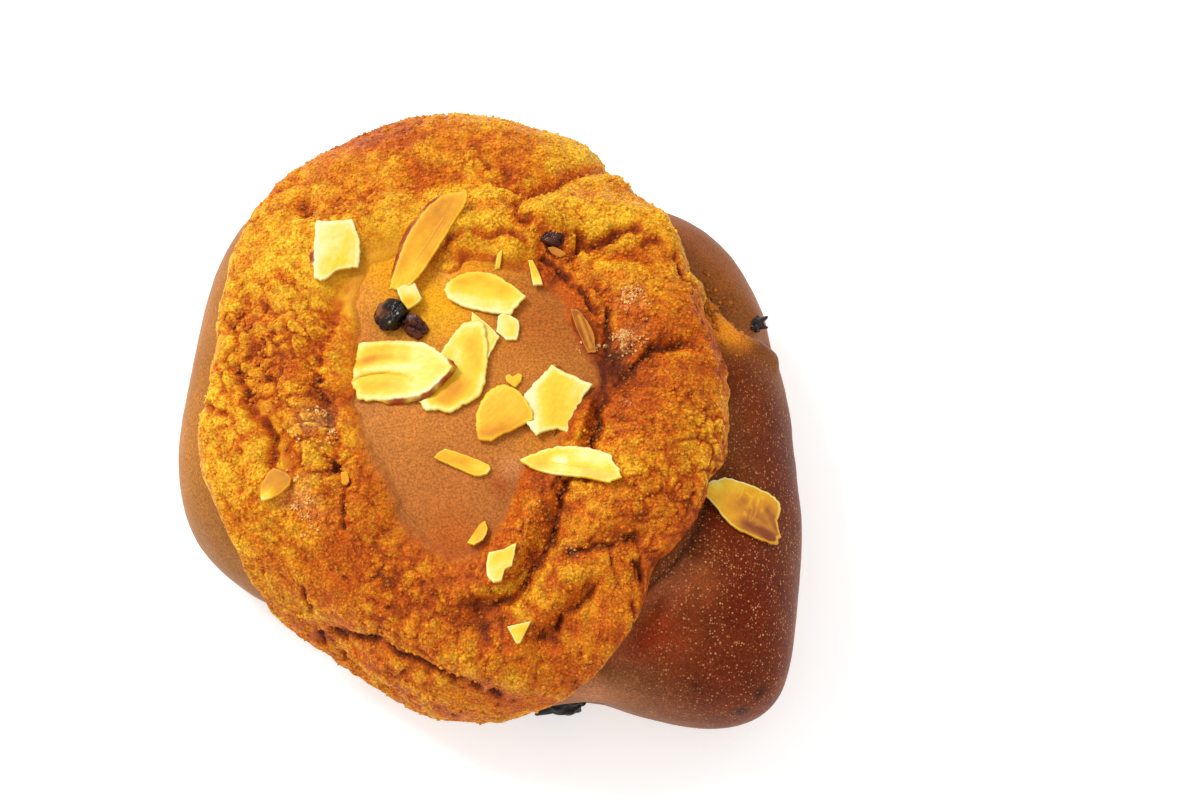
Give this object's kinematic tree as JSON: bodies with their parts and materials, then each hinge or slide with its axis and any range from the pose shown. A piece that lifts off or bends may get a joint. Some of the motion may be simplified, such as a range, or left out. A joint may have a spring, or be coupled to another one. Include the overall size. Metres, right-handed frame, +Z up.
{
  "type": "melon pan bun",
  "caption": "Round sweet bread bun under a cracked ring of cookie dough crust, topped with almond slices and raisins.",
  "frame": {"origin": "middle of the bun's flat base", "axes": "+Z up through the crown, +Y towards the far side, +X to the right; the bare bread corner points to +X -Y"},
  "size_m": [0.1203, 0.1269, 0.0508],
  "materials": {
    "baked_bread": "smooth browned bread crust with an egg wash sheen",
    "cookie_dough": "dry, grainy, cracked golden cookie dough",
    "almond": "satin pale sliced almond",
    "toasted_almond": "satin toasted sliced almond",
    "raisin": "glossy dark wrinkled skin"
  },
  "bodies": {
    "root": {"bread": "baked_bread", "cookie_crust": "cookie_dough", "raisin_window": "raisin", "raisin_window_right": "raisin", "raisin_under_flap": "raisin", "raisin_right_side": "raisin", "raisin_front_base": "raisin", "almond_chip_far_left": "almond", "almond_curved_far": "toasted_almond", "almond_chip_by_raisin": "almond", "almond_half_moon": "almond", "almond_flake_middle": "almond", "almond_bent_middle": "almond", "almond_chip_square": "almond", "almond_half_left": "almond", "almond_half_round": "toasted_almond", "almond_square_right": "almond", "almond_sliver_far": "almond", "almond_stick_middle": "almond", "almond_leaf_right": "almond", "almond_tucked_right": "toasted_almond", "almond_browned_left": "toasted_almond", "almond_sliver_front": "toasted_almond", "almond_chip_front": "almond", "almond_triangle_front": "almond", "almond_skin_right": "toasted_almond"}
  },
  "joints": []
}
